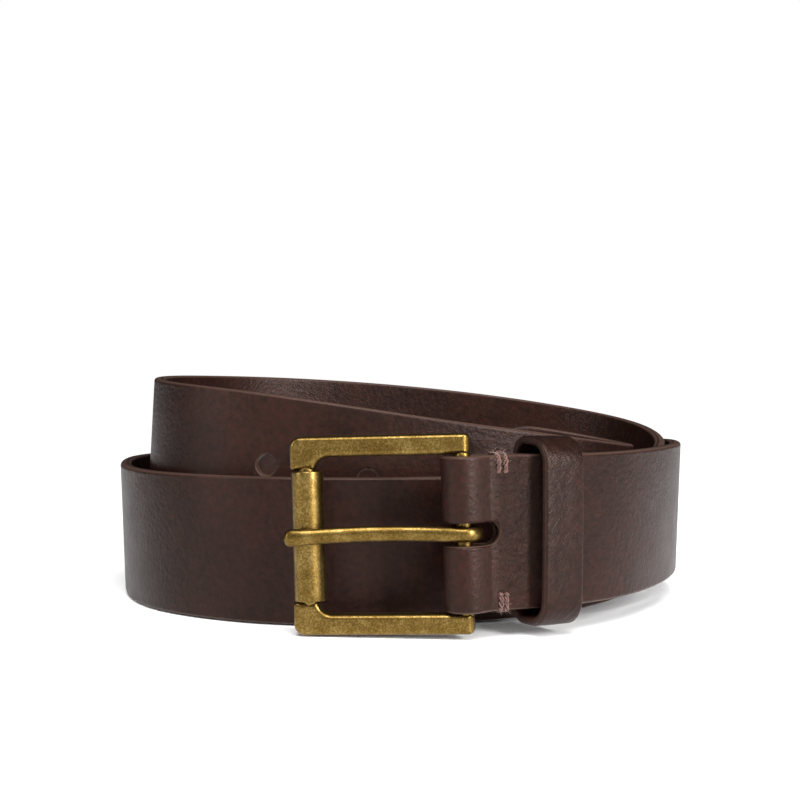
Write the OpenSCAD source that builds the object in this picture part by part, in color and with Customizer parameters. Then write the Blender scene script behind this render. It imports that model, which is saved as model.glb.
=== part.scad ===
// Men's leather belt, 35 mm wide, lying coiled with its roller buckle in front.
// Millimetres, +Z up. The origin is under the middle of the coil, at table level.

/* [Strap] */
// Width of the leather strap
strap_w = 35; // [34:0.5:36]
// Thickness of the leather
strap_t = 3; // [2.6:0.1:3.2]
// Number of size holes
hole_count = 5; // [3:1:5]
// Distance between two size holes
hole_pitch = 25; // [24:0.2:26]
// Diameter of a size hole
hole_d = 5.2; // [3:0.2:6]
// Distance from the point of the strap to the first size hole
tip_to_hole = 53.5; // [45:0.5:60]
// Length of the rounded point
point_len = 20; // [14:1:26]

/* [Turned-back end] */
// Length of the end that is turned back round the heel bar
tab_len = 34; // [31:1:38]
// Height of the prong slot
slot_h = 5.4; // [5:0.1:7]
// Distance from the heel bar's axis to the round end of the prong slot
slot_reach = 7.6; // [7.4:0.1:8.4]
// Diameter of the stitching thread
thread_d = 0.9; // [0.6:0.1:1]

/* [Keeper] */
// Width of the keeper along the strap
keeper_w = 10.5; // [8:0.5:12]
// Thickness of the keeper leather
keeper_t = 2.1; // [1.8:0.1:2.4]
// Clear height inside the keeper
keeper_h = 39; // [38:0.5:40]
// Clear depth inside the keeper
keeper_depth = 9.8; // [9.6:0.1:10.4]

/* [Buckle] */
// Clear height between the arms of the buckle
window_h = 35.8; // [35.7:0.1:38]
// Height of each arm
arm_h = 4.7; // [4:0.1:5]
// Depth of the frame, front to back
frame_d = 4.2; // [4:0.1:4.6]
// Distance from the heel bar to the roller bar, between their axes
bar_span = 35.6; // [34:0.2:38]
// Diameter of the heel bar
heel_d = 3.6; // [3.2:0.1:3.7]
// Outer diameter of the roller
roller_d = 7.4; // [7:0.1:8]
// Length of the roller
roller_len = 29.6; // [28:0.2:31]
// Height of the prong
prong_h = 3.8; // [3:0.1:4]

/* [Hidden] */
$fn = 48;

LEATHER = [0.25, 0.16, 0.15];
BRASS = [0.62, 0.52, 0.28];
THREAD = [0.52, 0.35, 0.31];
STEEL = [0.7, 0.7, 0.68];

// The coil. Each station is x, y, height of the strap's middle, and the sideways
// lean of its top edge in degrees. The strap follows a smooth curve drawn through them,
// from the heel bar, once round outside, once round inside it, and back on itself.
HEEL = [14.5, -64, 23.6];
HEEL_LEAN = -1.6;
COIL = [
    [23, -61.5, 23.85, -1.5], [33.5, -57, 23.6, -1], [45, -49.5, 23.5, -0.5],
    [56, -38, 23.5, 0], [66.5, -20.5, 23.6, 1], [74.2, -1, 23.7, 2.5], [76.5, 20, 24, 2.5],
    [72, 42, 22.9, 2], [55, 58, 20.9, 1], [28, 64.5, 18.9, 0], [0, 66.4, 17.7, 0],
    [-28, 64.5, 17.5, 0], [-54, 57, 18.1, 0], [-70, 40, 18.9, -1], [-76.3, 19, 19, -2],
    [-74, 0, 17.7, -2.5], [-66, -19.5, 17.5, -2], [-53, -33.5, 17.5, 0],
    [-33, -44.5, 17.5, 0], [-8, -48, 17.5, 0], [18, -42, 17.5, 0], [41, -33, 18, 2],
    [59, -20, 20.5, 4], [69, 0, 22.4, 5], [72, 20, 25.6, 6], [67, 39, 29.2, 6],
    [50, 53, 32.8, 6], [24, 59.5, 36.8, 5], [-8, 60, 40, 4], [-38, 55, 41.8, 3.5],
    [-58, 40, 42.2, 3], [-66, 20, 42.1, 3], [-66.5, 0, 41.4, 3], [-60.5, -18, 40.2, 3],
    [-45, -30, 38.8, 4], [-20, -35, 35.4, 5], [8, -34, 31, 5], [32, -27.5, 27.8, 5],
    [50, -18, 25, 5], [61, -5.5, 23.2, 5], [58, 7, 23.8, 5], [45, 11, 26.4, 5],
    [31, 10.5, 28.4, 5], [18, 9, 30.2, 5]];
SPAN_RINGS = 5;

// Fit of the leather round the heel bar, and of the prong's eye on it
LEATHER_PLAY = 0.15;
PIN_PLAY = 0.08;
LAYER_GAP = 0.2;
// Length over which the turned-back layers close up behind the heel bar
NECK_LEN = 7.8;
EDGE_CUT = 0.8;

// ---- the strap's path -------------------------------------------------------------
function unit(v) = v / norm(v);
function spline_weights(t) =
    [pow(1 - t, 3), 3 * pow(t, 3) - 6 * t * t + 4,
     -3 * pow(t, 3) + 3 * t * t + 3 * t + 1, pow(t, 3)] / 6;
function spline_point(c, i, t) =
    let (w = spline_weights(t)) c[i] * w[0] + c[i + 1] * w[1] + c[i + 2] * w[2] + c[i + 3] * w[3];

HEEL_STATION = concat(HEEL, [HEEL_LEAN]);
LAST_STATION = COIL[len(COIL) - 1];
// The station mirrored behind the heel bar makes the curve start exactly on the bar's axis
CONTROLS = concat([2 * HEEL_STATION - COIL[0], HEEL_STATION], COIL, [LAST_STATION, LAST_STATION]);
// Points of the middle line of the double layer; on the single strap it runs along its inner face
LINE = [for (i = [0 : len(CONTROLS) - 4], k = [0 : SPAN_RINGS - 1])
    spline_point(CONTROLS, i, k / SPAN_RINGS)];
LAST = len(LINE) - 1;

function place(p) = [p[0], p[1], p[2]];
function along(i) = unit(place(LINE[min(i + 1, LAST)]) - place(LINE[max(i - 1, 0)]));
function across(i) =
    let (t = along(i), lean = [tan(LINE[i][3]), 0, 1]) unit(lean - (lean * t) * t);
function outward(i) = cross(along(i), across(i));

// Distance of every point of the line from the heel bar, summed along the line
function running(i, sum, out) =
    i > LAST ? out
    : let (s = sum + norm(place(LINE[i]) - place(LINE[i - 1]))) running(i + 1, s, concat(out, [s]));
REACH = running(1, 0, [0]);
LINE_LEN = REACH[LAST];
// Index, with its fraction, of the point at a given distance along the line
function index_at(s, i = 1) =
    i >= LAST || REACH[i] >= s ? i - 1 + (s - REACH[i - 1]) / (REACH[i] - REACH[i - 1])
    : index_at(s, i + 1);
function mixed(f, a, b) = a * (1 - f) + b * f;

// Half the distance between the two layers' middles, at distance s from the heel bar
FOLD_R = heel_d / 2 + LEATHER_PLAY + strap_t / 2;
LAYER_R = (strap_t + LAYER_GAP) / 2;
function closing(s) = s >= NECK_LEN ? 0 : (1 + cos(180 * s / NECK_LEN)) / 2;
function layer_offset(s) = LAYER_R + (FOLD_R - LAYER_R) * closing(s);

// Half the strap's width at distance r from its point
function half_width(r) =
    r >= point_len ? strap_w / 2
    : max(1.2, strap_w / 2 * sqrt(1 - pow(1 - r / point_len, 2.4)));

// ---- placing things on the path ------------------------------------------------------
// Local axes at distance s: x along the strap, y inward, z up across its width
module on_line(s) {
    f = index_at(s);
    i = floor(f);
    p = mixed(f - i, place(LINE[i]), place(LINE[i + 1]));
    x = unit(mixed(f - i, along(i), along(i + 1)));
    z = unit(mixed(f - i, across(i), across(i + 1)));
    y = -cross(x, z);
    multmatrix([[x[0], y[0], z[0], p[0]], [x[1], y[1], z[1], p[1]], [x[2], y[2], z[2], p[2]]])
        children();
}

// Local axes at the heel bar, x along the strap, z along the bar
HEEL_TURN = atan2(COIL[0][1] - HEEL[1], COIL[0][0] - HEEL[0]);
module at_heel() {
    translate(HEEL) rotate([0, HEEL_LEAN, 0]) rotate([0, 0, HEEL_TURN]) children();
}

// Local axes of the buckle: x from the heel bar towards the roller, y to the front, z up
BUCKLE_TURN = 7;
module at_buckle() {
    translate(HEEL) rotate([0, HEEL_LEAN, 0]) rotate([0, 0, 180 - BUCKLE_TURN]) children();
}

// ---- strap ------------------------------------------------------------------------
// One ring of the strap: a rectangle with cut corners, about point p
function ring(p, n, w, half) =
    let (a = strap_t / 2, c = min(EDGE_CUT, half / 2))
    [for (q = [[a, c - half], [a, half - c], [a - EDGE_CUT, half], [EDGE_CUT - a, half],
               [-a, half - c], [-a, c - half], [EDGE_CUT - a, -half], [a - EDGE_CUT, -half]])
        p + q[0] * n + q[1] * w];

TAB_LAST = floor(index_at(tab_len));
TAB_RINGS = [for (i = [TAB_LAST : -1 : 0])
    ring(place(LINE[i]) - layer_offset(REACH[i]) * outward(i), -outward(i), across(i), strap_w / 2)];
FOLD_STEPS = 12;
FOLD_RINGS = [for (k = [1 : FOLD_STEPS - 1])
    let (a = 180 * k / FOLD_STEPS, n = -cos(a) * outward(0) - sin(a) * along(0))
    ring(place(LINE[0]) + FOLD_R * n, n, across(0), strap_w / 2)];
COIL_RINGS = [for (i = [0 : LAST])
    ring(place(LINE[i]) + layer_offset(REACH[i]) * outward(i), outward(i), across(i),
         half_width(LINE_LEN - REACH[i]))];
STRAP_RINGS = concat(TAB_RINGS, FOLD_RINGS, COIL_RINGS);

module swept(rings) {
    m = len(rings[0]);
    count = len(rings);
    sides = [for (i = [0 : count - 2], j = [0 : m - 1])
        let (a = i * m + j, b = i * m + (j + 1) % m) each [[a, b, b + m], [a, b + m, a + m]]];
    caps = concat([for (j = [1 : m - 2]) [0, j + 1, j]],
                  [for (j = [1 : m - 2]) (count - 1) * m * [1, 1, 1] + [0, j, j + 1]]);
    polyhedron(points = [for (r = rings) each r], faces = concat(sides, caps));
}

// Long slot for the prong through both layers of the fold, with a round end behind the bar
SLOT_CUT = 8;
module prong_slot() {
    round_x = slot_reach - slot_h / 2;
    at_heel() {
        translate([-SLOT_CUT, -SLOT_CUT, -slot_h / 2]) cube([SLOT_CUT + round_x, 2 * SLOT_CUT, slot_h]);
        translate([round_x, SLOT_CUT, 0]) rotate([90, 0, 0]) cylinder(d = slot_h, h = 2 * SLOT_CUT);
    }
}

HOLE_CUT = 3;
module size_holes() {
    for (k = [0 : hole_count - 1])
        on_line(LINE_LEN - tip_to_hole - k * hole_pitch)
            translate([0, HOLE_CUT, 0]) rotate([90, 0, 0]) cylinder(d = hole_d, h = strap_t + 2 * HOLE_CUT);
}

module strap() {
    color(LEATHER) difference() {
        swept(STRAP_RINGS);
        prong_slot();
        size_holes();
        stitch_holes();
    }
}

// ---- fold stitches -----------------------------------------------------------------
// Two turns of thread, side by side, through awl slits in both layers and over the edge
STITCH_AT = [7.3, 9];
STITCH_DROP = 4;
THREAD_PLAY = 0.1;
// Gap between the thread and the leather's face or edge
THREAD_OFF = 0.05;
STITCH_OUT = LAYER_R + strap_t / 2 + thread_d / 2 + THREAD_OFF;

module stitch_holes() {
    slit = thread_d + 2 * THREAD_PLAY;
    for (s = STITCH_AT, side = [-1, 1])
        on_line(s) translate([0, 0, side * (strap_w / 2 - STITCH_DROP)])
            cube([slit, 2 * STITCH_OUT, slit], center = true);
}

module strand(from, to) {
    reach = to - from;
    translate(from) rotate([0, acos(reach[2] / norm(reach)), atan2(reach[1], reach[0])])
        cylinder(d = thread_d, h = norm(reach));
    translate(from) sphere(d = thread_d);
}

module fold_stitch(side) {
    low = side * (strap_w / 2 - STITCH_DROP);
    high = side * (strap_w / 2 + thread_d / 2 + THREAD_OFF);
    corners = [[0, -STITCH_OUT, low], [0, -STITCH_OUT, high], [0, STITCH_OUT, high],
               [0, STITCH_OUT, low]];
    color(THREAD) {
        for (s = STITCH_AT, k = [0 : 3])
            on_line(s) strand(corners[k], corners[(k + 1) % 4]);
    }
}

module upper_fold_stitch() { fold_stitch(1); }
module lower_fold_stitch() { fold_stitch(-1); }

// ---- keeper ------------------------------------------------------------------------
KEEPER_AT = 20.4;
// Clearance behind the turned-back end, inside the keeper
KEEPER_BACK = 0.9;
KEEPER_R = 2.4;
BACK_Y = LAYER_R + strap_t / 2 + KEEPER_BACK;

module rounded_plate(x, y, r) {
    square([x - 2 * r, y], center = true);
    square([x, y - 2 * r], center = true);
    for (i = [-1, 1], j = [-1, 1]) translate([i * (x / 2 - r), j * (y / 2 - r)]) circle(r);
}

module keeper_loop() {
    middle_y = BACK_Y - keeper_depth / 2;
    color(LEATHER) difference() {
        on_line(KEEPER_AT) translate([0, middle_y, 0]) rotate([0, 90, 0])
            linear_extrude(keeper_w, center = true) difference() {
                rounded_plate(keeper_h + 2 * keeper_t, keeper_depth + 2 * keeper_t,
                              KEEPER_R + keeper_t);
                rounded_plate(keeper_h, keeper_depth, KEEPER_R);
            }
        staple_legs(0);
    }
}

// Wire staple that joins the keeper's two ends behind the strap
STAPLE_W = 6;
STAPLE_D = 0.8;
LEG_PLAY = 0.1;
module staple_legs(short) {
    for (side = [-1, 1])
        on_line(KEEPER_AT) translate([0, BACK_Y + keeper_t, side * STAPLE_W / 2])
            rotate([90, 0, 0]) cylinder(d = STAPLE_D, h = keeper_t - short);
}

module keeper_staple() {
    color(STEEL) {
        staple_legs(LEG_PLAY);
        on_line(KEEPER_AT) translate([0, BACK_Y + keeper_t + STAPLE_D / 2, 0])
            cube([STAPLE_D, STAPLE_D, STAPLE_W + STAPLE_D], center = true);
    }
}

// ---- buckle ------------------------------------------------------------------------
FRAME_H = window_h + 2 * arm_h;
ARM_END = 1.9;
FRAME_LEFT = bar_span + roller_d / 2;
BLOCK_W = 5.6;
BLOCK_GAP = 0.15;
ROLLER_BAR_D = 4;
ROLLER_WALL = 0.9;
OUTER_R = 2.4;
FILLET_R = 3.4;

module frame_corner() {
    reach = (FRAME_H - roller_len) / 2 - BLOCK_GAP;
    low = FRAME_H / 2 - reach;
    difference() {
        union() {
            translate([-ARM_END + OUTER_R, FRAME_H / 2 - arm_h])
                square([FRAME_LEFT + ARM_END - 2 * OUTER_R, arm_h]);
            translate([-ARM_END, FRAME_H / 2 - arm_h / 2]) square([OUTER_R, arm_h / 2 - OUTER_R / 2]);
            translate([-ARM_END, FRAME_H / 2 - arm_h]) square([OUTER_R, arm_h - OUTER_R / 2]);
            translate([-ARM_END + OUTER_R / 2, FRAME_H / 2 - OUTER_R / 2]) circle(OUTER_R / 2);
            translate([-ARM_END + OUTER_R / 2, FRAME_H / 2 - OUTER_R]) square([OUTER_R, OUTER_R]);
            translate([FRAME_LEFT - BLOCK_W, low]) square([BLOCK_W, reach - OUTER_R]);
            translate([FRAME_LEFT - OUTER_R, FRAME_H / 2 - OUTER_R]) circle(OUTER_R);
            translate([FRAME_LEFT - BLOCK_W - FILLET_R, low])
                square([FILLET_R, reach - arm_h]);
        }
        translate([FRAME_LEFT - BLOCK_W - FILLET_R, low]) circle(FILLET_R);
    }
}

module buckle_frame() {
    color(BRASS) at_buckle() {
        for (side = [0, 1]) mirror([0, 0, side])
            translate([0, frame_d / 2, 0]) rotate([90, 0, 0]) linear_extrude(frame_d) frame_corner();
        cylinder(d = heel_d, h = window_h + arm_h, center = true);
        translate([bar_span, 0, 0]) cylinder(d = ROLLER_BAR_D, h = window_h + arm_h, center = true);
    }
}

module roller() {
    color(BRASS) at_buckle() translate([bar_span, 0, 0]) difference() {
        cylinder(d = roller_d, h = roller_len, center = true);
        cylinder(d = roller_d - 2 * ROLLER_WALL, h = roller_len + 2, center = true);
    }
}

// The prong: an eye on the heel bar and a shank bent to lie on the front of the roller
EYE_T = 2.4;
SHANK_D = 2.6;
TIP_OVER = 1.2;
PRONG_DIP = 1.6;
// Gap between the prong and the roller, and how far the prong's faces are rounded over
PRONG_REST = 0.4;
PRONG_ROUND = 1.2;
EYE_R = heel_d / 2 + PIN_PLAY + EYE_T;
TIP_X = bar_span + roller_d / 2 + TIP_OVER - SHANK_D / 2;
SHANK_X = [for (k = [0 : 5]) bar_span * k / 5, TIP_X];

function shank_y(x) =
    let (start = EYE_R - SHANK_D / 2, stop = roller_d / 2 + PRONG_REST + SHANK_D / 2, f = x / bar_span)
    mixed(min(f, 1), start, stop) - PRONG_DIP * sin(180 * min(f, 1));

module prong() {
    color(BRASS) at_buckle() difference() {
        union() {
            cylinder(r = EYE_R, h = prong_h, center = true);
            for (k = [1 : len(SHANK_X) - 1])
                hull() for (x = [SHANK_X[k - 1], SHANK_X[k]])
                    translate([x, shank_y(x), 0]) prong_slice();
        }
        cylinder(d = heel_d + 2 * PIN_PLAY, h = prong_h + 2, center = true);
    }
}

module prong_slice() {
    cylinder(d = SHANK_D, h = prong_h - PRONG_ROUND, center = true, $fn = 24);
    cylinder(d = SHANK_D - PRONG_ROUND, h = prong_h, center = true, $fn = 24);
}

strap();
upper_fold_stitch();
lower_fold_stitch();
keeper_loop();
keeper_staple();
buckle_frame();
roller();
prong();
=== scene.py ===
"""The coiled leather belt, with its own materials, lights and camera. Metres, in the CAD frame."""
import math
import random

import bpy
import numpy as np
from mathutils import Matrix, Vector


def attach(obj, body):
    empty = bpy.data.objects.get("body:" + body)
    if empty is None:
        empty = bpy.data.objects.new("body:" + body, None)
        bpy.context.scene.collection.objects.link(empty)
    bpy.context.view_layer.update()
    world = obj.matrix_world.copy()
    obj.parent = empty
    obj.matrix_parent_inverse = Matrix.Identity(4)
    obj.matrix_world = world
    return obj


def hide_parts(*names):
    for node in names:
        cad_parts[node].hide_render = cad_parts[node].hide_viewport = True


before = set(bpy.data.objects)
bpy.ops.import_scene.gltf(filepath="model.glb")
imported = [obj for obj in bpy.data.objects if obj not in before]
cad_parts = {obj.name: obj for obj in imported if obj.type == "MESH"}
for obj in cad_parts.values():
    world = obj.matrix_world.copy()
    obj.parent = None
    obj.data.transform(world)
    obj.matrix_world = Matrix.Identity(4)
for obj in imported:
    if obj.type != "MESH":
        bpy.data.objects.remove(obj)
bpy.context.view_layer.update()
MM = 0.001

# ---- sizes of the design, in millimetres ---------------------------------------------------------
STRAP_W = 35.0
STRAP_T = 3.0
HEEL_D = 3.6
LEATHER_PLAY = 0.15
LAYER_GAP = 0.2
NECK_LEN = 7.8
TAB_LEN = 34.0
POINT_LEN = 20.0
HOLE_D = 5.2
HOLE_PITCH = 25.0
TIP_TO_HOLE = 53.5
HOLES = 5
SLOT_H = 5.4
SLOT_REACH = 7.6
KEEPER_AT = 20.4
KEEPER_W = 10.5
KEEPER_T = 2.1
KEEPER_H = 39.0
KEEPER_DEPTH = 9.8
KEEPER_BACK = 0.9
STITCH_AT = (7.3, 9.0)
STITCH_DROP = 4.0
WINDOW_H = 35.8
ARM_H = 4.7
FRAME_D = 4.2
BAR_SPAN = 35.6
ROLLER_D = 7.4
ROLLER_LEN = 29.6
ROLLER_BAR_D = 4.0
PRONG_H = 3.8

HEEL = (14.5, -64.0, 23.6)
HEEL_LEAN = -1.6
BUCKLE_TURN = 7.0
# x, y, height of the strap's middle, and the sideways lean of its top edge in degrees
COIL = [
    (23, -61.5, 23.85, -1.5), (33.5, -57, 23.6, -1), (45, -49.5, 23.5, -0.5),
    (56, -38, 23.5, 0), (66.5, -20.5, 23.6, 1), (74.2, -1, 23.7, 2.5), (76.5, 20, 24, 2.5),
    (72, 42, 22.9, 2), (55, 58, 20.9, 1), (28, 64.5, 18.9, 0), (0, 66.4, 17.7, 0),
    (-28, 64.5, 17.5, 0), (-54, 57, 18.1, 0), (-70, 40, 18.9, -1), (-76.3, 19, 19, -2),
    (-74, 0, 17.7, -2.5), (-66, -19.5, 17.5, -2), (-53, -33.5, 17.5, 0),
    (-33, -44.5, 17.5, 0), (-8, -48, 17.5, 0), (18, -42, 17.5, 0), (41, -33, 18, 2),
    (59, -20, 20.5, 4), (69, 0, 22.4, 5), (72, 20, 25.6, 6), (67, 39, 29.2, 6),
    (50, 53, 32.8, 6), (24, 59.5, 36.8, 5), (-8, 60, 40, 4), (-38, 55, 41.8, 3.5),
    (-58, 40, 42.2, 3), (-66, 20, 42.1, 3), (-66.5, 0, 41.4, 3), (-60.5, -18, 40.2, 3),
    (-45, -30, 38.8, 4), (-20, -35, 35.4, 5), (8, -34, 31, 5), (32, -27.5, 27.8, 5),
    (50, -18, 25, 5), (61, -5.5, 23.2, 5), (58, 7, 23.8, 5), (45, 11, 26.4, 5),
    (31, 10.5, 28.4, 5), (18, 9, 30.2, 5)]


# ---- the camera ----------------------------------------------------------------------------------
EYE = (0.0, -0.350, 0.0574)
LENS = 57.15
SENSOR = 36.0
FRAMING_SHIFT = -0.021


def camera():
    """Level, looking along +Y."""
    data = bpy.data.cameras.new("camera")
    data.lens = LENS
    data.sensor_width = SENSOR
    data.shift_y = FRAMING_SHIFT
    data.clip_start = 0.01
    eye = bpy.data.objects.new("camera", data)
    eye.location = EYE
    eye.rotation_euler = (math.radians(90), 0, 0)
    bpy.context.scene.collection.objects.link(eye)
    bpy.context.scene.camera = eye


camera()


# ---- mesh helpers --------------------------------------------------------------------------------
def unit(v):
    return v / np.linalg.norm(v)


def mesh_object(name, points, faces, uv=None):
    """A mesh object from points in millimetres, smooth but for its end caps.

    uv, where there is one, has a pair for each point.
    """
    mesh = bpy.data.meshes.new(name)
    mesh.from_pydata([tuple(float(c) * MM for c in p) for p in points], [], faces)
    if uv is not None:
        layer = mesh.uv_layers.new(name="strip")
        for loop in mesh.loops:
            layer.data[loop.index].uv = uv[loop.vertex_index]
    mesh.validate()
    mesh.update()
    mesh.polygons.foreach_set("use_smooth", [len(p.vertices) <= 4 for p in mesh.polygons])
    obj = bpy.data.objects.new(name, mesh)
    bpy.context.scene.collection.objects.link(obj)
    return obj


def tube_faces(rings, sides, closed=False):
    """Quads between successive rings of points, with a polygon over each open end."""
    faces = []
    for i in range(rings if closed else rings - 1):
        here = i * sides
        there = ((i + 1) % rings) * sides
        for j in range(sides):
            k = (j + 1) % sides
            faces.append((here + j, here + k, there + k, there + j))
    if not closed:
        faces.append(tuple(reversed(range(sides))))
        faces.append(tuple((rings - 1) * sides + j for j in range(sides)))
    return faces


def join(name, parts):
    """One mesh object from several (points, faces) pairs."""
    points = []
    faces = []
    for p, f in parts:
        start = len(points)
        points.extend(p)
        faces.extend(tuple(i + start for i in face) for face in f)
    return mesh_object(name, points, faces)


def apply_modifiers(obj):
    """Puts the evaluated mesh in the place of the one with modifiers."""
    graph = bpy.context.evaluated_depsgraph_get()
    graph.update()
    done = bpy.data.meshes.new_from_object(obj.evaluated_get(graph), depsgraph=graph)
    old = obj.data
    obj.modifiers.clear()
    obj.data = done
    bpy.data.meshes.remove(old)


def arc(cx, cy, r, start, stop, steps):
    """Points of a round corner, from one angle in degrees to the other."""
    angles = [math.radians(start + (stop - start) * k / steps) for k in range(steps + 1)]
    return [(cx + r * math.cos(a), cy + r * math.sin(a)) for a in angles]


def wire(path, radius, sides):
    """A round tube along a path of points; radius is a number or one number per point."""
    path = [np.array(p, float) for p in path]
    radii = [radius] * len(path) if isinstance(radius, (int, float)) else radius
    points = []
    side = None
    for i, p in enumerate(path):
        t = unit(path[min(i + 1, len(path) - 1)] - path[max(i - 1, 0)])
        if side is None:
            side = np.cross(t, (0.3, 0.2, 0.9))
        side = unit(side - side.dot(t) * t)
        over = np.cross(t, side)
        for k in range(sides):
            a = 2 * math.pi * k / sides
            points.append(p + radii[i] * (math.cos(a) * side + math.sin(a) * over))
    return points, tube_faces(len(path), sides)


# ---- the path of the strap -----------------------------------------------------------------------
def spline(controls, per_span):
    """Points of a uniform cubic B-spline, per_span of them to each span."""
    c = np.array(controls, float)
    out = []
    for i in range(len(c) - 3):
        for k in range(per_span):
            t = k / per_span
            w = np.array([(1 - t) ** 3, 3 * t ** 3 - 6 * t * t + 4,
                          -3 * t ** 3 + 3 * t * t + 3 * t + 1, t ** 3]) / 6
            out.append(w @ c[i:i + 4])
    return np.array(out)


class Line:
    """The middle line of the doubled strap, with its axes at every point."""

    def __init__(self, per_span):
        start = HEEL + (HEEL_LEAN,)
        before = tuple(2 * a - b for a, b in zip(start, COIL[0]))
        data = spline([before, start] + COIL + [COIL[-1], COIL[-1]], per_span)
        self.at = data[:, :3]
        n = len(data)
        self.along = np.array([unit(self.at[min(i + 1, n - 1)] - self.at[max(i - 1, 0)])
                               for i in range(n)])
        lean = np.stack([np.tan(np.radians(data[:, 3])), np.zeros(n), np.ones(n)], axis=1)
        lean -= np.sum(lean * self.along, axis=1)[:, None] * self.along
        self.up = lean / np.linalg.norm(lean, axis=1)[:, None]
        self.out = np.cross(self.along, self.up)
        steps = np.linalg.norm(np.diff(self.at, axis=0), axis=1)
        self.reach = np.concatenate([[0.0], np.cumsum(steps)])
        self.length = self.reach[-1]

    def frame_at(self, s):
        """Point, direction, outward side and up at distance s from the heel bar."""
        pick = [np.array([np.interp(s, self.reach, a[:, k]) for k in range(3)])
                for a in (self.at, self.along, self.out, self.up)]
        return pick[0], unit(pick[1]), unit(pick[2]), unit(pick[3])


POINTS_PER_SPAN = 22
LINE = Line(POINTS_PER_SPAN)
FOLD_R = HEEL_D / 2 + LEATHER_PLAY + STRAP_T / 2
LAYER_R = (STRAP_T + LAYER_GAP) / 2


def layer_offset(s):
    """How far each layer's middle is from the line, wider near the heel bar."""
    if s >= NECK_LEN:
        return LAYER_R
    return LAYER_R + (FOLD_R - LAYER_R) * (1 + math.cos(math.pi * s / NECK_LEN)) / 2


TIP_HALF = 1.2
TIP_POWER = 2.4


def half_width(r):
    """Half the strap's width at distance r from its point, which is a blunt oval."""
    if r >= POINT_LEN:
        return STRAP_W / 2
    oval = 1 - abs(1 - r / POINT_LEN) ** TIP_POWER
    return max(TIP_HALF, STRAP_W / 2 * math.sqrt(max(0.0, oval)))


# ---- the strap -----------------------------------------------------------------------------------
EDGE_R = 0.75
CREASE_IN = 1.6
CREASE_DEPTH = 0.08
CREASE_W = 0.35
FACE_STEPS = 16
CORNER_STEPS = 5
FOLD_STEPS = 28
HOLE_LIP = 0.4
HOLE_LIP_DEPTH = 0.45
HOLE_CUT = 4.0
HOLE_SIDES = 40
SLOT_CUT = 8.0
SLOT_END_STEPS = 16
# units of the strip's UV map to a millimetre; the far face is one whole unit higher
STRIP = 0.01


def strap_section(half):
    """Outline of the strap as (out, up) pairs: rounded edges, and a crease beside each one."""
    r = min(EDGE_R, half * 0.5)
    flat = half - r
    core = STRAP_T / 2 - r
    outline = []
    for k in range(FACE_STEPS + 1):
        b = flat * math.sin(math.pi * (k / FACE_STEPS - 0.5))
        crease = CREASE_DEPTH * math.exp(-((half - abs(b) - CREASE_IN) / CREASE_W) ** 2)
        outline.append((STRAP_T / 2 - crease, b))
    outline += arc(core, flat, r, 0, 90, CORNER_STEPS)[1:]
    outline += arc(-core, flat, r, 90, 180, CORNER_STEPS)[:-1]
    for k in range(FACE_STEPS + 1):
        outline.append((-STRAP_T / 2, flat * math.sin(math.pi * (0.5 - k / FACE_STEPS))))
    outline += arc(-core, -flat, r, 180, 270, CORNER_STEPS)[1:]
    outline += arc(core, -flat, r, 270, 360, CORNER_STEPS)[:-1]
    return outline


def strap_stations():
    """(middle, outward, up, half width, distance along the strip) from the turned-back end on."""
    stations = []
    tab = [i for i in range(len(LINE.at)) if LINE.reach[i] <= TAB_LEN]
    fold = math.pi * FOLD_R
    for i in reversed(tab):
        s = LINE.reach[i]
        out = -LINE.out[i]
        stations.append((LINE.at[i] + layer_offset(s) * out, out, LINE.up[i],
                         STRAP_W / 2, -s - fold))
    for k in range(1, FOLD_STEPS):
        a = math.pi * k / FOLD_STEPS
        out = math.cos(math.pi - a) * LINE.out[0] - math.sin(a) * LINE.along[0]
        stations.append((LINE.at[0] + FOLD_R * out, out, LINE.up[0],
                         STRAP_W / 2, -fold * (1 - k / FOLD_STEPS)))
    for i in range(len(LINE.at)):
        s = LINE.reach[i]
        stations.append((LINE.at[i] + layer_offset(s) * LINE.out[i], LINE.out[i], LINE.up[i],
                         half_width(LINE.length - s), s))
    return stations


def hole_cutter(centre, axis):
    """A cylinder that flares where it leaves the leather, for a round hole with soft lips."""
    axis = unit(axis)
    side = unit(np.cross(axis, (0, 0, 1)))
    over = np.cross(axis, side)
    half = STRAP_T / 2
    profile = [(-HOLE_CUT, HOLE_LIP), (-half - 0.05, HOLE_LIP * 0.8)]
    for k in range(5):
        a = math.pi / 2 * k / 4
        profile.append((-half + HOLE_LIP_DEPTH * (1 - math.cos(a)), HOLE_LIP * (1 - math.sin(a))))
    profile += [(-z, e) for z, e in reversed(profile)]
    points = []
    for z, extra in profile:
        for k in range(HOLE_SIDES):
            a = 2 * math.pi * k / HOLE_SIDES
            ring = (HOLE_D / 2 + extra) * (math.cos(a) * side + math.sin(a) * over)
            points.append(centre + z * axis + ring)
    return points, tube_faces(len(profile), HOLE_SIDES)


def slot_cutter():
    """Long slot with a round end, from the fold's front to its back."""
    at, along, out, up = LINE.frame_at(0.0)
    r = SLOT_H / 2
    outline = [(-SLOT_CUT, -r)]
    for k in range(SLOT_END_STEPS + 1):
        a = math.pi * (k / SLOT_END_STEPS - 0.5)
        outline.append((SLOT_REACH - r + r * math.cos(a), r * math.sin(a)))
    outline.append((-SLOT_CUT, r))
    points = [at + x * along + z * up + y * out
              for y in (-SLOT_CUT, SLOT_CUT) for x, z in outline]
    return points, tube_faces(2, len(outline))


def cut(obj, cutter):
    """Takes the cutter's volume out of the object."""
    change = obj.modifiers.new("cut", "BOOLEAN")
    change.operation = "DIFFERENCE"
    change.solver = "EXACT"
    change.object = cutter
    apply_modifiers(obj)
    bpy.data.objects.remove(cutter)


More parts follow.
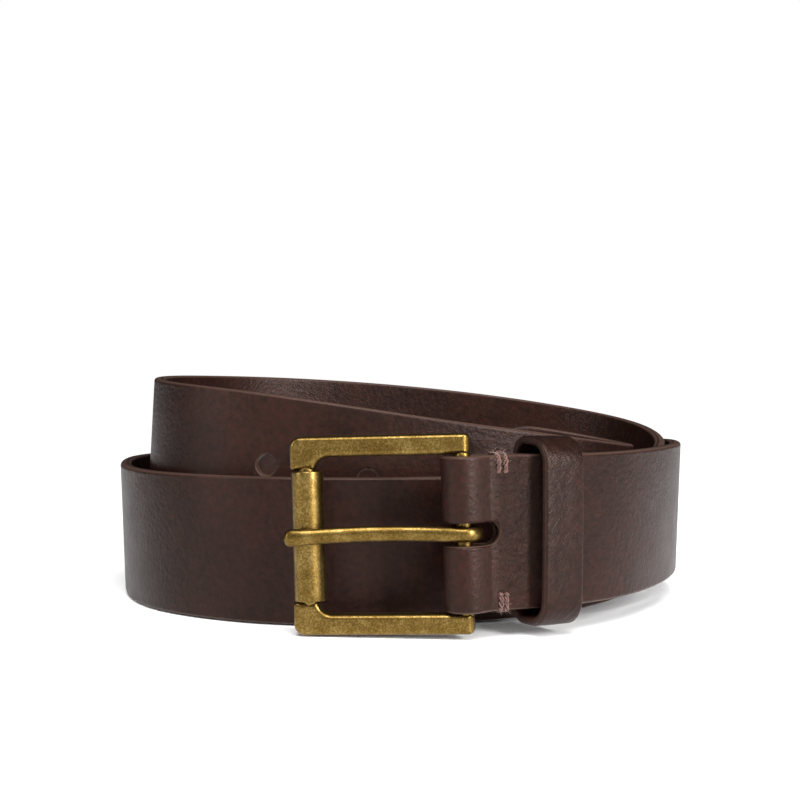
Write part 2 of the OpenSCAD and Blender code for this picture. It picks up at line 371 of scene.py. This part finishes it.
def strap():
    """The whole strip, from the turned-back end to the point, with its slot and size holes."""
    stations = strap_stations()
    points = []
    strip = []
    for at, out, up, half, s in stations:
        for a, b in strap_section(half):
            points.append(at + a * out + b * up)
            strip.append((s * STRIP, 0.5 + b * STRIP + (0.0 if a > 0 else 1.0)))
    sides = len(strap_section(STRAP_W / 2))
    obj = mesh_object("belt_strap", points, tube_faces(len(stations), sides), uv=strip)
    cutters = [slot_cutter()]
    for k in range(HOLES):
        at, along, out, up = LINE.frame_at(LINE.length - TIP_TO_HOLE - k * HOLE_PITCH)
        cutters.append(hole_cutter(at + LAYER_R * out, out))
    for index, cutter in enumerate(cutters):
        cut(obj, mesh_object("cutter_%d" % index, *cutter))
    obj.data.materials.append(leather("strap_leather", fine=False))
    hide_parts("strap")
    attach(obj, "strap")


# ---- stitches ------------------------------------------------------------------------------------
THREAD_R = 0.2
THREAD_OFF = 0.1
THREAD_OVER = 0.15
THREAD_SIDES = 7
LOOP_STEPS = 10
PLIES = 3
PLY_R = 0.24
PLY_TWIST = 0.35
PLY_APART = 2.1
# a turn slants by its own shift over this height
SLANT_OVER = 17
FIBRES = 44
FIBRE_END_GAP = 30
FIBRE_R = [0.07, 0.06, 0.05, 0.02]
FIBRE_SIDES = 4


def catmull(loop, steps):
    """A closed smooth curve through the points."""
    n = len(loop)
    out = []
    for i in range(n):
        a, b, c, d = (np.array(loop[(i + k) % n]) for k in (-1, 0, 1, 2))
        for k in range(steps):
            t = k / steps
            out.append(0.5 * (2 * b + (c - a) * t + (2 * a - 5 * b + 4 * c - d) * t * t
                              + (3 * b - a - 3 * c + d) * t ** 3))
    return out


def stitch(name, node, side, seed):
    """Two waxed turns over the strap's edge, each of twisted plies, with frayed fibres."""
    rng = random.Random(seed)
    face = LAYER_R + STRAP_T / 2 + THREAD_OFF
    low = side * (STRAP_W / 2 - STITCH_DROP)
    high = side * (STRAP_W / 2 + THREAD_OVER)
    parts = []
    for s in STITCH_AT:
        at, along, out, up = LINE.frame_at(s)
        shift = rng.uniform(-0.3, 0.3)
        loop = [(-face + 0.6, low), (-face, low + side * 0.8), (-face, high - side * 1.2),
                (-face + 1.0, high), (0, high + side * 0.15), (face - 1.0, high),
                (face, high - side * 1.2), (face, low + side * 0.8), (face - 0.6, low),
                (0, low)]
        slant = shift / SLANT_OVER * along
        route = catmull([at + y * out + z * up + z * slant for y, z in loop], LOOP_STEPS)
        for ply in range(PLIES):
            stray = rng.uniform(0.0, 6.0)
            turn = []
            for i, p in enumerate(route):
                slack = PLY_R * (1 + 0.9 * math.sin(0.21 * i + stray) ** 2)
                a = PLY_TWIST * i + PLY_APART * ply
                turn.append(p + slack * (math.cos(a) * along + math.sin(a) * out))
            parts.append(wire(turn + turn[:1], THREAD_R, THREAD_SIDES))
        for k in range(FIBRES):
            i = rng.randrange(FIBRE_END_GAP, len(route) - FIBRE_END_GAP)
            root = route[i]
            drift = (rng.uniform(-1, 1) * along + rng.uniform(0.1, 0.7) * out
                     + rng.uniform(-0.9, 0.9) * up)
            reach = rng.uniform(0.5, 1.4)
            curl = rng.uniform(-0.5, 0.5) * up + rng.uniform(-0.5, 0.5) * along
            fibre = [root + drift * reach * t + curl * t * t for t in (0, 0.3, 0.6, 1)]
            parts.append(wire(fibre, FIBRE_R, FIBRE_SIDES))
    obj = join(name, parts)
    obj.data.materials.append(thread_material())
    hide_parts(node)
    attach(obj, "strap")


# ---- keeper --------------------------------------------------------------------------------------
KEEPER_FRONT_R = 5.0
KEEPER_REAR_R = 3.4
KEEPER_BEND_STEPS = 12
KEEPER_BOW = 0.25
KEEPER_EDGE_R = 0.8
STAPLE_R = 0.4
STAPLE_SIDES = 12


def keeper():
    """A strip bent into a rounded rectangle round the doubled strap, its ends butted behind."""
    at, along, out, up = LINE.frame_at(KEEPER_AT)
    back = -(LAYER_R + STRAP_T / 2 + KEEPER_BACK)
    mid_y = back + KEEPER_DEPTH / 2
    half_y = (KEEPER_DEPTH + KEEPER_T) / 2
    half_z = (KEEPER_H + KEEPER_T) / 2
    path = []
    for cy, cz, first in ((1, 1, 0), (1, -1, -90), (-1, -1, -180), (-1, 1, -270)):
        r = KEEPER_FRONT_R if cy > 0 else KEEPER_REAR_R
        centre = np.array([cy * (half_y - r), cz * (half_z - r)])
        for k in range(KEEPER_BEND_STEPS + 1):
            a = math.radians(first + 90 * (1 - k / KEEPER_BEND_STEPS))
            n = np.array([math.cos(a), math.sin(a)])
            path.append((centre + r * n, n))
    route = []
    for i, (p, n) in enumerate(path):
        q, m = path[(i + 1) % len(path)]
        steps = max(1, int(np.linalg.norm(q - p)))
        for k in range(steps):
            f = k / steps
            route.append((p * (1 - f) + q * f, unit(n * (1 - f) + m * f)))
    section = keeper_section()
    points = []
    strip = []
    run = 0.0
    for i, (p, n) in enumerate(route):
        bow = KEEPER_BOW * math.cos(math.pi * p[1] / (2 * half_z)) * (1 if n[0] > 0.9 else 0)
        for a, b in section:
            y, z = p + (a + bow) * n
            points.append(at + (mid_y + y) * out + z * up + b * along)
            strip.append((run * STRIP, 0.5 + b * STRIP + (0.0 if a > 0 else 1.0)))
        run += np.linalg.norm(route[(i + 1) % len(route)][0] - p)
    obj = mesh_object("keeper", points, tube_faces(len(route), len(section), closed=True),
                      uv=strip)
    obj.data.materials.append(leather("keeper_leather", fine=True))
    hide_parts("keeper_loop")
    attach(obj, "keeper")


def keeper_section():
    """Outline of the keeper strip as (out, along) pairs, with rounded edges."""
    r = KEEPER_EDGE_R
    flat = KEEPER_W / 2 - r
    outline = []
    for cy, cb, first in ((1, 1, 0), (-1, 1, 90), (-1, -1, 180), (1, -1, 270)):
        for k in range(5):
            a = math.radians(first + 90 * k / 4)
            outline.append((cy * (KEEPER_T / 2 - r) + r * math.cos(a),
                            cb * flat + r * math.sin(a)))
        for f in (0.25, 0.5, 0.75):
            if first == 90:
                outline.append((-KEEPER_T / 2, flat - 2 * flat * f))
            if first == 270:
                outline.append((KEEPER_T / 2, -flat + 2 * flat * f))
    return outline


def staple():
    """Wire staple across the keeper's joint, with its two legs turned in."""
    at, along, out, up = LINE.frame_at(KEEPER_AT)
    back = -(LAYER_R + STRAP_T / 2 + KEEPER_BACK + KEEPER_T)
    upper = [(0.1 + KEEPER_T * 0.9, 3.0), (0.6, 3.0), (0.0, 2.9), (-0.35, 2.5), (-0.4, 1.8)]
    route = upper + [(-0.4, 0.0)] + [(y, -z) for y, z in reversed(upper)]
    path = [at + (back + y) * out + z * up for y, z in route]
    obj = mesh_object("staple", *wire(path, STAPLE_R, STAPLE_SIDES))
    obj.data.materials.append(steel_material())
    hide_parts("keeper_staple")
    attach(obj, "keeper")


# ---- buckle --------------------------------------------------------------------------------------
def buckle_axes():
    """Origin at the heel bar; x towards the roller, y to the front, z up the bar."""
    lean = math.radians(HEEL_LEAN)
    turn = math.radians(180 - BUCKLE_TURN)
    tilt = np.array([[math.cos(lean), 0, math.sin(lean)], [0, 1, 0],
                     [-math.sin(lean), 0, math.cos(lean)]])
    spin = np.array([[math.cos(turn), -math.sin(turn), 0], [math.sin(turn), math.cos(turn), 0],
                     [0, 0, 1]])
    m = tilt @ spin
    return np.array(HEEL), m[:, 0], m[:, 1], m[:, 2]


BUCKLE = buckle_axes()


def in_buckle(p):
    """A point given in the buckle's axes."""
    origin, x, y, z = BUCKLE
    return origin + p[0] * x + p[1] * y + p[2] * z


ARM_END = 1.9
BLOCK_W = 5.6
BLOCK_R = 0.9
BLOCK_GAP = 0.15
OUTER_R = 2.4
FILLET_R = 3.4
END_R = 1.5
FRAME_EDGE_R = 1.1
EDGE_STEPS = 6
DEPTH_STEPS = 8
ARM_STEPS = 14
# neighbours in the outline are at least this far apart
LEAST_STEP = 0.05
BAR_RINGS = 25
BAR_SIDES = 32


def arm_outline():
    """Front outline of one arm with its corner block, as (x, z), anticlockwise."""
    top = WINDOW_H / 2 + ARM_H
    low = WINDOW_H / 2
    left = BAR_SPAN + ROLLER_D / 2
    inner = left - BLOCK_W
    block = ROLLER_LEN / 2 + BLOCK_GAP
    outline = arc(-ARM_END + END_R, low + END_R, END_R, 180, 270, 6)
    outline += [(x, low) for x in np.linspace(2, inner - FILLET_R - 1, ARM_STEPS)]
    outline += arc(inner - FILLET_R, low - FILLET_R, FILLET_R, 90, 0, 10)[:-1]
    outline = [p for p in outline if p[1] >= block - 0.01]
    outline += arc(left - BLOCK_R, block + BLOCK_R, BLOCK_R, 270, 360, 5)
    outline += arc(left - OUTER_R, top - OUTER_R, OUTER_R, 0, 90, 10)
    outline += [(x, top) for x in np.linspace(left - OUTER_R - 2, 1, ARM_STEPS)]
    outline += arc(-ARM_END + END_R, top - END_R, END_R, 90, 180, 8)
    clean = [outline[0]]
    for p in outline[1:]:
        if math.dist(p, clean[-1]) > LEAST_STEP:
            clean.append(p)
    return clean


def inset(outline, d):
    """The outline moved inwards by d."""
    n = len(outline)
    out = []
    for i in range(n):
        a = np.array(outline[i - 1])
        b = np.array(outline[i])
        c = np.array(outline[(i + 1) % n])
        e = unit(b - a)
        f = unit(c - b)
        n1 = np.array([-e[1], e[0]])
        n2 = np.array([-f[1], f[0]])
        m = unit(n1 + n2)
        out.append(tuple(b + m * d / max(0.5, m.dot(n1))))
    return out


def slab(outline, depth, edge):
    """A plate of this outline with rounded front and back edges and half-round arm ends."""
    front = []
    for k in range(EDGE_STEPS + 1):
        a = math.pi / 2 * k / EDGE_STEPS
        front.append((edge * (1 - math.sin(a)), -depth / 2 + edge * (1 - math.cos(a))))
    flat = depth / 2 - edge
    middle = [(0.0, y) for y in np.linspace(-flat, flat, DEPTH_STEPS + 1)[1:-1]]
    rings = front + middle + [(d, -y) for d, y in reversed(front)]
    points = []
    for d, y in rings:
        limit = -ARM_END * math.sqrt(max(0.0, 1 - (2 * y / depth) ** 2))
        for x, z in inset(outline, d):
            points.append((max(x, limit), y, z))
    return points, tube_faces(len(rings), len(outline))


def mirrored(part):
    """The same part on the other side of the buckle's middle."""
    points, faces = part
    return [(x, y, -z) for x, y, z in points], [tuple(reversed(f)) for f in faces]


def bar(x, radius, half):
    """A round bar across the window at x."""
    points = []
    for k in range(BAR_RINGS):
        z = -half + 2 * half * k / (BAR_RINGS - 1)
        for j in range(BAR_SIDES):
            a = 2 * math.pi * j / BAR_SIDES
            points.append((x + radius * math.cos(a), radius * math.sin(a), z))
    return points, tube_faces(BAR_RINGS, BAR_SIDES)


def buckle_frame():
    """One casting: two arms with their corner blocks, the heel bar and the roller's bar."""
    arm = slab(arm_outline(), FRAME_D, FRAME_EDGE_R)
    reach = WINDOW_H / 2 + 1
    parts = [arm, mirrored(arm), bar(0, HEEL_D / 2, reach), bar(BAR_SPAN, ROLLER_BAR_D / 2, reach)]
    parts = [([in_buckle(p) for p in points], faces) for points, faces in parts]
    obj = join("frame", parts)
    obj.data.materials.append(brass("frame_brass", 0.5))
    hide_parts("buckle_frame")
    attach(obj, "frame")


ROLLER_T = 0.9
ROLLER_RIM = 0.3
ROLLER_JOINT = 5.0
ROLLER_STEPS = 72


def roller():
    """A strip rolled into a tube, with softened rims and a fine joint at the back."""
    outer = ROLLER_D / 2
    inner = outer - ROLLER_T
    half = ROLLER_LEN / 2
    rim = ROLLER_RIM
    profile = arc(outer - rim, rim - half, rim, -90, 0, 4)
    profile += [(outer, z) for z in np.linspace(-half + 2, half - 2, 9)]
    profile += arc(outer - rim, half - rim, rim, 0, 90, 4)
    profile += arc(inner + rim, half - rim, rim, 90, 180, 4)
    profile += arc(inner + rim, rim - half, rim, 180, 270, 4)
    gap = math.radians(ROLLER_JOINT)
    points = []
    for k in range(ROLLER_STEPS + 1):
        a = -math.pi / 2 + gap / 2 + (2 * math.pi - gap) * k / ROLLER_STEPS
        for r, z in profile:
            points.append(in_buckle((BAR_SPAN + r * math.cos(a), r * math.sin(a), z)))
    obj = mesh_object("roller_tube", points, tube_faces(ROLLER_STEPS + 1, len(profile)))
    obj.data.materials.append(brass("roller_brass", 0.65))
    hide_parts("roller")
    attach(obj, "roller")


EYE_T = 2.4
EYE_PLAY = 0.08
EYE_MID = HEEL_D / 2 + EYE_PLAY + EYE_T / 2
EYE_START = 395.0
EYE_STEPS = 30
SHANK_D = 2.6
SHANK_STEPS = 60
NECK_PART = 0.15
TIP_OVER = 1.2
TIP_ROUND = 1.7
BULB_AT = 1.8
BULB_LEN = 2.6
# the shank's half height as parts of PRONG_H / 2: at the neck, gained along it, and at the bulb
NECK_TALL = 0.9
SHANK_GAIN = 0.06
BULB_GAIN = 0.1
PRONG_DIP = 1.6
PRONG_RISE = 0.5
PRONG_LIFT = 0.3
PRONG_SIDES = 24
# below 1 this makes an oval section slightly square
SQUARENESS = 0.9


def prong_route():
    """(x, y, half thickness) along the eye round the heel bar, then along the shank."""
    tip = BAR_SPAN + ROLLER_D / 2 + TIP_OVER
    start = HEEL_D / 2 + EYE_PLAY + EYE_T - SHANK_D / 2
    stop = ROLLER_D / 2 + PRONG_LIFT + SHANK_D / 2
    route = []
    for k in range(EYE_STEPS + 1):
        a = math.radians(EYE_START + (90 - EYE_START) * k / EYE_STEPS)
        route.append((EYE_MID * math.cos(a), EYE_MID * math.sin(a), EYE_T / 2))
    for k in range(1, SHANK_STEPS + 1):
        f = k / SHANK_STEPS
        x = tip * f
        g = min(x / BAR_SPAN, 1)
        y = start * (1 - g) + stop * g - PRONG_DIP * math.sin(math.pi * g)
        blend = min(1.0, f / NECK_PART)
        blend = blend * blend * (3 - 2 * blend)
        y = EYE_MID * (1 - blend) + y * blend
        route.append((x, y, EYE_T / 2 * (1 - blend) + SHANK_D / 2 * blend))
    return route


def round_end(distance, radius):
    """How much of its size a rounded end has reached at this distance from it, squared."""
    return 1 - (1 - min(1.0, distance / radius)) ** 2


def prong():
    """One bar, bent round the heel bar and out along the front to lie on the roller."""
    route = prong_route()
    count = len(route)
    run = [0.0]
    for a, b in zip(route, route[1:]):
        run.append(run[-1] + math.dist(a[:2], b[:2]))
    points = []
    for i, (x, y, thick) in enumerate(route):
        ahead = route[min(i + 1, count - 1)]
        behind = route[max(i - 1, 0)]
        t = unit(np.array([ahead[0] - behind[0], ahead[1] - behind[1]]))
        n = np.array([-t[1], t[0]])
        f = max(0.0, (i - EYE_STEPS) / SHANK_STEPS)
        left = run[-1] - run[i]
        bulb = math.exp(-((left - BULB_AT) / BULB_LEN) ** 2)
        tall = PRONG_H / 2 * (NECK_TALL + SHANK_GAIN * f + BULB_GAIN * bulb)
        rise = PRONG_RISE * math.sin(math.pi * f)
        scale = math.sqrt(max(0.0, round_end(left, TIP_ROUND)))
        scale *= math.sqrt(max(0.02, round_end(run[i], 1.0)))
        for k in range(PRONG_SIDES):
            a = 2 * math.pi * k / PRONG_SIDES
            c = math.cos(a)
            s = math.sin(a)
            p = thick * scale * math.copysign(abs(c) ** SQUARENESS, c)
            q = tall * scale * math.copysign(abs(s) ** SQUARENESS, s)
            points.append(in_buckle((x + n[0] * p, y + n[1] * p, q + rise)))
    obj = mesh_object("prong_bar", points, tube_faces(count, PRONG_SIDES))
    obj.data.materials.append(brass("prong_brass", 0.35))
    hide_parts("prong")
    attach(obj, "prong")


# ---- materials -----------------------------------------------------------------------------------
class Nodes:
    """Short names for building a node material."""

    def __init__(self, name):
        self.material = bpy.data.materials.new(name)
        self.material.use_nodes = True
        self.tree = self.material.node_tree
        self.shader = self.tree.nodes["Principled BSDF"]
        self.where = self.add("ShaderNodeTexCoord").outputs["Object"]

    def add(self, kind, **settings):
        node = self.tree.nodes.new(kind)
        for key, value in settings.items():
            setattr(node, key, value)
        return node

    def link(self, a, b):
        self.tree.links.new(a, b)

    def noise(self, scale, detail=4.0, rough=0.55, where=None):
        node = self.add("ShaderNodeTexNoise")
        node.inputs["Scale"].default_value = scale
        node.inputs["Detail"].default_value = detail
        node.inputs["Roughness"].default_value = rough
        self.link(where or self.where, node.inputs["Vector"])
        return node.outputs["Fac"]

    def cells(self, scale):
        node = self.add("ShaderNodeTexVoronoi", feature="SMOOTH_F1")
        node.inputs["Scale"].default_value = scale
        self.link(self.where, node.inputs["Vector"])
        return node.outputs["Distance"]

    def ramp(self, value, stops):
        """stops are (place, level) or (place, colour) pairs"""
        node = self.add("ShaderNodeValToRGB")
        while len(node.color_ramp.elements) < len(stops):
            node.color_ramp.elements.new(0.5)
        for element, (place, colour) in zip(node.color_ramp.elements, stops):
            element.position = place
            rgb = colour if isinstance(colour, tuple) else (colour,) * 3
            element.color = (*rgb, 1.0)
        self.link(value, node.inputs["Fac"])
        return node.outputs["Color"]

    def math(self, operation, a, b=0.0):
        node = self.add("ShaderNodeMath", operation=operation)
        for socket, value in zip(node.inputs, (a, b)):
            if isinstance(value, (int, float)):
                socket.default_value = value
            else:
                self.link(value, socket)
        return node.outputs["Value"]

    def mix(self, factor, under, colour):
        """The colour laid over what is under it."""
        node = self.add("ShaderNodeMix", data_type="RGBA")
        self.link(factor, node.inputs[0])
        self.link(under, node.inputs[6])
        node.inputs[7].default_value = (*colour, 1.0)
        return node.outputs[2]

    def bump(self, height, distance, strength, under=None):
        node = self.add("ShaderNodeBump")
        node.inputs["Distance"].default_value = distance
        node.inputs["Strength"].default_value = strength
        self.link(height, node.inputs["Height"])
        if under is not None:
            self.link(under, node.inputs["Normal"])
        return node.outputs["Normal"]

    def turned(self, factors, angle):
        """Object coordinates turned about the depth axis, then stretched."""
        turn = self.add("ShaderNodeMapping")
        turn.inputs["Rotation"].default_value = (0.0, angle, 0.0)
        self.link(self.where, turn.inputs["Vector"])
        node = self.add("ShaderNodeMapping")
        node.inputs["Scale"].default_value = (factors[0], factors[2], factors[1])
        self.link(turn.outputs["Vector"], node.inputs["Vector"])
        return node.outputs["Vector"]


def srgb(r, g, b):
    """Linear colour from 8-bit sRGB."""
    shares = [c / 255 for c in (r, g, b)]
    return tuple(c / 12.92 if c <= 0.04045 else ((c + 0.055) / 1.055) ** 2.4 for c in shares)


LEATHER_DARK = srgb(16, 8, 7)
LEATHER_MID = srgb(30, 16, 12)
LEATHER_WARM = srgb(46, 22, 17)
EDGE_PAINT = srgb(78, 60, 52)


def leather(name, fine):
    """Smooth dark brown leather: clouded dye, fine pores, soft wrinkles and painted edges."""
    m = Nodes(name)
    clouds = m.noise(45.0, 4.0, 0.55)
    specks = m.noise(650.0, 4.0, 0.6)
    tone = m.math("ADD", m.math("MULTIPLY", clouds, 0.45), m.math("MULTIPLY", specks, 0.55))
    dye = m.ramp(tone, [(0.32, LEATHER_DARK), (0.5, LEATHER_MID), (0.74, LEATHER_WARM)])
    strip = m.add("ShaderNodeUVMap", uv_map="strip")
    split = m.add("ShaderNodeSeparateXYZ")
    m.link(strip.outputs["UV"], split.inputs["Vector"])
    across = m.math("ABSOLUTE", m.math("SUBTRACT", m.math("FRACT", split.outputs["Y"]), 0.5))
    half = (KEEPER_W if fine else STRAP_W) / 2 * STRIP
    edge = m.ramp(m.math("DIVIDE", across, half), [(0.95 if fine else 0.965, 0.0), (0.99, 1.0)])
    colour = m.mix(m.math("MULTIPLY", edge, 0.25 if fine else 0.6), dye, EDGE_PAINT)
    m.link(colour, m.shader.inputs["Base Color"])
    if fine:
        # two crossing sets of fine scores
        one = m.noise(520.0, 3.0, 0.6, m.turned((1.0, 0.16, 1.0), 0.7))
        two = m.noise(520.0, 3.0, 0.6, m.turned((1.0, 0.16, 1.0), -0.7))
        grain = m.math("ADD", one, two)
        crease = m.math("MULTIPLY", m.noise(260.0, 4.0, 0.6), 0.1)
        depth = 0.0004
        strength = 0.5
    else:
        grain = m.cells(900.0)
        # the leather wrinkles most where it is sewn down behind the buckle
        worked = m.ramp(split.outputs["X"],
                        [(0.05, 0.006), (0.075, 0.8), (0.12, 0.8), (0.2, 0.006)])
        crease = m.math("MULTIPLY", m.noise(330.0, 6.0, 0.68), worked)
        depth = 0.0003
        strength = 0.25
    gloss = m.math("ADD", m.math("MULTIPLY", m.noise(160.0, 5.0, 0.6), 0.16), 0.3)
    m.link(gloss, m.shader.inputs["Roughness"])
    sway = m.noise(38.0, 2.0, 0.5, m.turned((1.0, 1.0, 0.2), 0.0))
    normal = m.bump(sway, 0.004, 0.12)
    normal = m.bump(crease, 0.0016, 0.9, normal)
    normal = m.bump(grain, depth, strength, normal)
    normal = m.bump(m.noise(1700.0, 4.0, 0.65), 0.0003, 0.3, normal)
    m.link(normal, m.shader.inputs["Normal"])
    m.shader.inputs["IOR"].default_value = 1.2
    m.shader.inputs["Specular IOR Level"].default_value = 0.8
    m.shader.inputs["Specular Tint"].default_value = (1.0, 0.8, 0.74, 1.0)
    return m.material


def brass(name, wear):
    """Antique brass, brushed and mottled with brown tarnish; more wear makes it lighter."""
    m = Nodes(name)
    blotch = m.noise(260.0, 5.0, 0.6)
    fine = m.noise(2300.0, 4.0, 0.7)
    tone = m.math("ADD", m.math("MULTIPLY", blotch, 0.35), m.math("MULTIPLY", fine, 0.65))
    shift = 0.08 * (wear - 0.5)
    colour = m.ramp(tone, [(0.32 - shift, srgb(68, 50, 20)), (0.5 - shift, srgb(104, 83, 40)),
                           (0.68 - shift, srgb(150, 126, 77))])
    m.link(colour, m.shader.inputs["Base Color"])
    m.shader.inputs["Metallic"].default_value = 1.0
    m.link(m.ramp(tone, [(0.35, 0.4), (0.65, 0.28)]), m.shader.inputs["Roughness"])
    brushed = m.noise(1100.0, 4.0, 0.65, m.turned((1.0, 0.3, 1.0), 0.0))
    normal = m.bump(blotch, 0.0002, 0.12)
    normal = m.bump(fine, 0.00006, 0.3, normal)
    normal = m.bump(brushed, 0.00006, 0.2, normal)
    m.link(normal, m.shader.inputs["Normal"])
    return m.material


def thread_material():
    """Waxed thread of a dusty red brown."""
    m = Nodes("waxed_thread")
    tone = m.noise(1500.0, 3.0, 0.6)
    m.link(m.ramp(tone, [(0.35, srgb(54, 28, 22)), (0.65, srgb(108, 68, 55))]),
           m.shader.inputs["Base Color"])
    m.shader.inputs["Roughness"].default_value = 0.8
    m.shader.inputs["Sheen Weight"].default_value = 0.3
    m.link(m.bump(m.noise(5200.0, 2.0), 0.00008, 0.5), m.shader.inputs["Normal"])
    return m.material


def steel_material():
    """Plain wire, dull here and there."""
    m = Nodes("staple_wire")
    tone = m.noise(1200.0, 3.0, 0.6)
    m.link(m.ramp(tone, [(0.3, srgb(132, 130, 124)), (0.7, srgb(190, 188, 182))]),
           m.shader.inputs["Base Color"])
    m.shader.inputs["Metallic"].default_value = 1.0
    m.link(m.ramp(tone, [(0.3, 0.42), (0.7, 0.3)]), m.shader.inputs["Roughness"])
    return m.material


# ---- studio --------------------------------------------------------------------------------------
ROOM_LIGHT = 0.05
SUN_POWER = 3.85
SUN_ANGLE = 36
SUN_TILT = 34
FLOOR_HALF = 3.0
FLOOR_Z = -0.0004
FLOOR_WHITE = 0.97


def floor():
    """A plain white table, just under the belt."""
    mesh = bpy.data.meshes.new("floor")
    far = FLOOR_HALF
    mesh.from_pydata([(-far, -far, 0), (far, -far, 0), (far, far, 0), (-far, far, 0)],
                     [], [(0, 1, 2, 3)])
    obj = bpy.data.objects.new("floor", mesh)
    obj.location.z = FLOOR_Z
    bpy.context.scene.collection.objects.link(obj)
    m = Nodes("floor_white")
    m.shader.inputs["Base Color"].default_value = (FLOOR_WHITE, FLOOR_WHITE, FLOOR_WHITE, 1)
    m.shader.inputs["Roughness"].default_value = 0.9
    m.shader.inputs["Specular IOR Level"].default_value = 0.1
    mesh.materials.append(m.material)


def area_light(name, place, aim, size, power):
    """A rectangular softbox that faces the aim."""
    data = bpy.data.lights.new(name, "AREA")
    data.shape = "RECTANGLE"
    data.size = size[0]
    data.size_y = size[1]
    data.energy = power
    obj = bpy.data.objects.new(name, data)
    obj.location = place
    obj.rotation_euler = (Vector(aim) - Vector(place)).to_track_quat("-Z", "Y").to_euler()
    bpy.context.scene.collection.objects.link(obj)


def studio():
    """Floor, a dim room that the camera sees as white, three softboxes and a soft sun."""
    floor()
    world = bpy.data.worlds.new("studio")
    world.use_nodes = True
    tree = world.node_tree
    room = tree.nodes["Background"]
    room.inputs["Color"].default_value = (1, 1, 1, 1)
    room.inputs["Strength"].default_value = ROOM_LIGHT
    seen = tree.nodes.new("ShaderNodeBackground")
    seen.inputs["Color"].default_value = (1, 1, 1, 1)
    path = tree.nodes.new("ShaderNodeLightPath")
    either = tree.nodes.new("ShaderNodeMixShader")
    tree.links.new(path.outputs["Is Camera Ray"], either.inputs[0])
    tree.links.new(room.outputs[0], either.inputs[1])
    tree.links.new(seen.outputs[0], either.inputs[2])
    tree.links.new(either.outputs[0], tree.nodes["World Output"].inputs["Surface"])
    bpy.context.scene.world = world
    middle = (0.0, 0.0, 0.03)
    area_light("left_box", (-0.72, -0.42, 0.3), middle, (0.16, 0.5), 2.2)
    area_light("right_box", (0.62, -0.68, 0.32), middle, (0.2, 0.5), 15.0)
    area_light("front_box", (-0.1, -1.3, 0.5), middle, (1.2, 0.7), 2.2)
    sky = bpy.data.lights.new("overhead", "SUN")
    sky.energy = SUN_POWER
    sky.angle = math.radians(SUN_ANGLE)
    overhead = bpy.data.objects.new("overhead", sky)
    overhead.rotation_euler = (math.radians(SUN_TILT), 0, 0)
    bpy.context.scene.collection.objects.link(overhead)
    bpy.context.scene.view_settings.view_transform = "Standard"


strap()
stitch("upper_stitch", "upper_fold_stitch", 1, 3)
stitch("lower_stitch", "lower_fold_stitch", -1, 7)
keeper()
staple()
buckle_frame()
roller()
prong()
studio()
